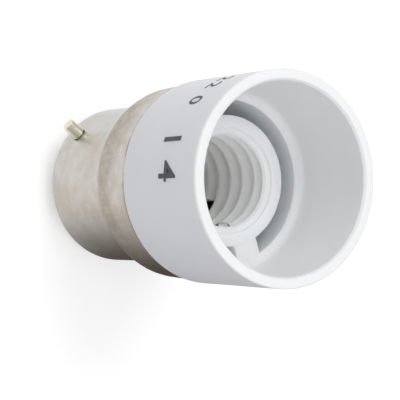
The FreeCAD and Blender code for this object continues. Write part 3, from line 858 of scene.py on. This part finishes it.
# a strip of even thickness that follows a bent path in the plane through Z at the given angle;
# a nose is crowned across its width, from the height noseFrom and fully after noseRise
def makeLeaf(name, path, width, angle, nose=False):
    s = springs
    corners = [tuple(p) if len(p) > 2 else (*p, s["bend"]) for p in path]
    middle = [Vector(p) for p in roundedOutline(corners, closed=False)]
    if nose:
        thirds = [(a, a.lerp(b, 1 / 3), a.lerp(b, 2 / 3)) for a, b in zip(middle, middle[1:])]
        middle = [p for three in thirds for p in three] + middle[-1:]
    places = [-1 + 2 * k / s["cuts"] for k in range(s["cuts"] + 1)]
    shape = bmesh.new()
    rows = []
    for i, point in enumerate(middle):
        ahead = middle[min(i + 1, len(middle) - 1)]
        behind = middle[max(i - 1, 0)]
        along = (ahead - behind).normalized()
        across = Vector((-along.y, along.x)) * s["thickness"] / 2
        share = min(1, max(0, (point.y - s["noseFrom"]) / s["noseRise"])) if nose else 0
        row = []
        for side in (1, -1):
            for place in places if side == 1 else reversed(places):
                radius = point.x + across.x * side + s["crown"] * share * place ** 2
                height = point.y + across.y * side
                row.append(shape.verts.new((radius * mm, place * width / 2 * mm, height * mm)))
        rows.append(row)
    count = len(rows[0])
    for first, second in zip(rows, rows[1:]):
        for k in range(count):
            shape.faces.new((first[k], first[(k + 1) % count], second[(k + 1) % count], second[k]))
    for row in (rows[0], rows[-1]):
        for k in range(s["cuts"]):
            shape.faces.new((row[k], row[k + 1], row[count - 2 - k], row[count - 1 - k]))
    shape.transform(Matrix.Rotation(math.radians(angle), 4, "Z"))
    mesh = bpy.data.meshes.new(name)
    shape.to_mesh(mesh)
    shape.free()
    leaf = newObject(name, mesh)
    tidyMesh(leaf)
    bevel = leaf.modifiers.new("edge", "BEVEL")
    bevel.width = s["edge"] * mm
    bevel.segments = 2
    bevel.limit_method = "ANGLE"
    bevel.angle_limit = math.radians(50)
    settle(leaf)
    return tidyMesh(leaf, sharpAngle=40)


def makeSprings():
    s = springs
    centre = makeLeaf("centreLeaf", s["centrePath"], s["centreWidth"], 90)
    side = makeLeaf("sideLeaf", s["sidePath"], s["sideWidth"], housing["sideAngle"], nose=True)
    # each leaf takes the strip's surface and replaces its part, with no body of its own
    dress(centre, "contact_strip", None, "centre_contact_spring")
    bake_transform(centre)
    dress(side, "contact_strip", None, "side_contact_spring")
    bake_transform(side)


rivets = {
    "radius": 0.7, "headRadius": 1.3, "head": 0.5, "dome": 0.42,
    # piece, node, radius and angle of its place, seat of the upper head, seat of the lower head
    "list": [
        ("centreRivet", "centre_rivet", 4.2, 90, 14.95, 12.2),
        ("sideRivet", "side_rivet", 4.6, housing["sideAngle"], 14.6, 11.85),
    ],
}


def makeRivets():
    r = rivets
    for name, node, place, angle, upper, lower in r["list"]:
        profile = roundedOutline([
            (0, lower - r["head"]), (r["headRadius"], lower - r["head"], r["dome"]), (r["headRadius"], lower),
            (r["radius"], lower), (r["radius"], upper), (r["headRadius"], upper),
            (r["headRadius"], upper + r["head"], r["dome"]), (0, upper + r["head"]),
        ], closed=False)
        turned = turnedMesh(name, [profile], 48, closed=False)
        x = place * math.cos(math.radians(angle)) * mm
        y = place * math.sin(math.radians(angle)) * mm
        turned.data.transform(Matrix.Translation((x, y, 0)))
        dress(tidyMesh(turned), "brass", "adapter", node)


makeBarrel()
makePin("pinRight", 1, "bayonet_pin_right")
makePin("pinLeft", -1, "bayonet_pin_left")
makeHousing()
makeMarks()
makeInsulator()
makeContact("contactPlate.front", -base["contactOffset"], "base_contact_front")
makeContact("contactPlate.back", base["contactOffset"], "base_contact_back")
makeSprings()
makeRivets()
for node in ("centre_lead", "side_lead"):
    mesh = nodes[node].data
    for i in range(len(mesh.materials)):
        mesh.materials[i] = surfaces["contact_strip"]
print("pieces made")


studio = {
    # the photograph's place, seen from in front of the mouth and to its left
    "cameraPlace": (-0.104714, -0.091806, 0.234904), "aim": (0.0026955, -0.000976, 0.0225),
    "roll": 88.897, "lens": 166.32,
    "floorSize": 6.0, "floorColour": (0.90, 0.90, 0.90, 1), "floorDrop": 0.00002,
    "floorLift": 0.315, "farLift": 0.40, "farFrom": 0.1, "farTo": 0.8,
    "ambient": 0.44, "ambientColour": (0.97, 0.98, 1, 1), "lampSize": 0.6, "lampDistance": 0.75,
    # power of each soft lamp, and how far it leans towards the picture's right and top for one unit up
    "lamps": [("upperLamp", 2.1, 0.05, 0.65), ("lowerLamp", 1.38, 0.05, -0.5), ("leftLamp", 0.75, -0.6, 0.0)],
    # the mirrored floor's dark side: degrees about Z, cosine at which it begins, and what is left there
    "shadeSide": -35.7, "shadeStart": 0.05, "shadeCurve": 1.2,
    "shadeColour": (1.0, 0.77, 0.58, 1), "shadeLeft": 0.065,
    "imageRight": 39.3,  # degrees about Z of the direction that lies to the right in the picture
}


def makeCamera():
    s = studio
    data = bpy.data.cameras.new("camera")
    data.lens = s["lens"]
    data.sensor_width = 36
    data.clip_start = 0.01
    data.clip_end = 50
    camera = newObject("camera", data)
    ahead = (Vector(s["aim"]) - Vector(s["cameraPlace"])).normalized()
    level = ahead.cross(Vector((0, 0, 1))).normalized()
    upright = level.cross(ahead)
    roll = math.radians(s["roll"])
    right = level * math.cos(roll) + upright * math.sin(roll)
    up = right.cross(ahead)
    turn = Matrix((right, up, -ahead)).transposed().to_4x4()
    camera.matrix_world = Matrix.Translation(s["cameraPlace"]) @ turn
    bpy.context.scene.camera = camera


# nearly white to the camera; metal mirrors it darker round the object towards the picture's lower edge
def paintFloor(graph):
    s = studio
    ray = graph.add("ShaderNodeLightPath")
    glossy = graph.out(ray, "Is Glossy Ray")
    seen = graph.maths("MAXIMUM", graph.out(ray, "Is Camera Ray"), glossy)
    matt = graph.add("ShaderNodeBsdfDiffuse", None, {"Color": s["floorColour"]})
    x, y = graph.split(graph.out(graph.add("ShaderNodeNewGeometry"), "Position"))[:2]
    distance = graph.maths("SQRT", x * x + y * y)
    lift = graph.ramp(distance, s["farFrom"], s["farTo"]) * s["farLift"] + s["floorLift"]
    glow = graph.add("ShaderNodeEmission", None, {"Color": (1, 1, 1, 1), "Strength": seen * lift})
    both = graph.out(graph.add("ShaderNodeAddShader", None, {0: graph.out(matt), 1: graph.out(glow)}))
    facing = graph.along(x, y, s["shadeSide"]) / distance
    share = graph.maths("MAXIMUM", (facing - s["shadeStart"]) / (1 - s["shadeStart"]), 0.0)
    share = graph.maths("POWER", share, s["shadeCurve"])
    shade = graph.add("ShaderNodeEmission", None, {"Color": s["shadeColour"], "Strength": s["shadeLeft"]})
    mirrored = graph.add("ShaderNodeMixShader", None, {0: glossy * share, 1: both, 2: graph.out(shade)})
    graph.add("ShaderNodeOutputMaterial", None, {"Surface": graph.out(mirrored)})


def makeFloor():
    s = studio
    shape = bmesh.new()
    bmesh.ops.create_grid(shape, x_segments=2, y_segments=2, size=s["floorSize"] / 2)
    mesh = bpy.data.meshes.new("floor")
    shape.to_mesh(mesh)
    shape.free()
    floor = newObject("floor", mesh)
    floor.location = (0, 0, -s["floorDrop"])
    material = bpy.data.materials.new("paleFloor")
    material.use_nodes = True
    paintFloor(Graph(material.node_tree))
    mesh.materials.append(material)


def makeLight():
    s = studio
    world = bpy.data.worlds.new("studio")
    bpy.context.scene.world = world
    world.use_nodes = True
    graph = Graph(world.node_tree)
    ray = graph.add("ShaderNodeLightPath")
    seen = graph.maths("MAXIMUM", graph.out(ray, "Is Camera Ray"), graph.out(ray, "Is Transmission Ray"))
    dim = {"Color": s["ambientColour"], "Strength": s["ambient"]}
    ambient = graph.add("ShaderNodeBackground", None, dim)
    white = graph.add("ShaderNodeBackground", None, {"Color": (1, 1, 1, 1), "Strength": 1.0})
    mixed = graph.add("ShaderNodeMixShader", None, {0: seen, 1: graph.out(ambient), 2: graph.out(white)})
    graph.add("ShaderNodeOutputWorld", None, {"Surface": graph.out(mixed)})

    right = Matrix.Rotation(math.radians(s["imageRight"]), 3, "Z") @ Vector((1, 0, 0))
    top = Matrix.Rotation(math.radians(s["imageRight"] + 90), 3, "Z") @ Vector((1, 0, 0))
    for name, power, toRight, toTop in s["lamps"]:
        toLamp = (Vector((0, 0, 1)) + right * toRight + top * toTop).normalized()
        light = bpy.data.lights.new(name, "AREA")
        light.shape = "DISK"
        light.size = s["lampSize"]
        light.energy = power
        lamp = newObject(name, light)
        lamp.location = Vector((0, 0, 0.02)) + toLamp * s["lampDistance"]
        lamp.rotation_euler = toLamp.to_track_quat("Z", "Y").to_euler()


makeCamera()
makeFloor()
makeLight()
bpy.context.scene.view_settings.view_transform = "Standard"
print("studio set")
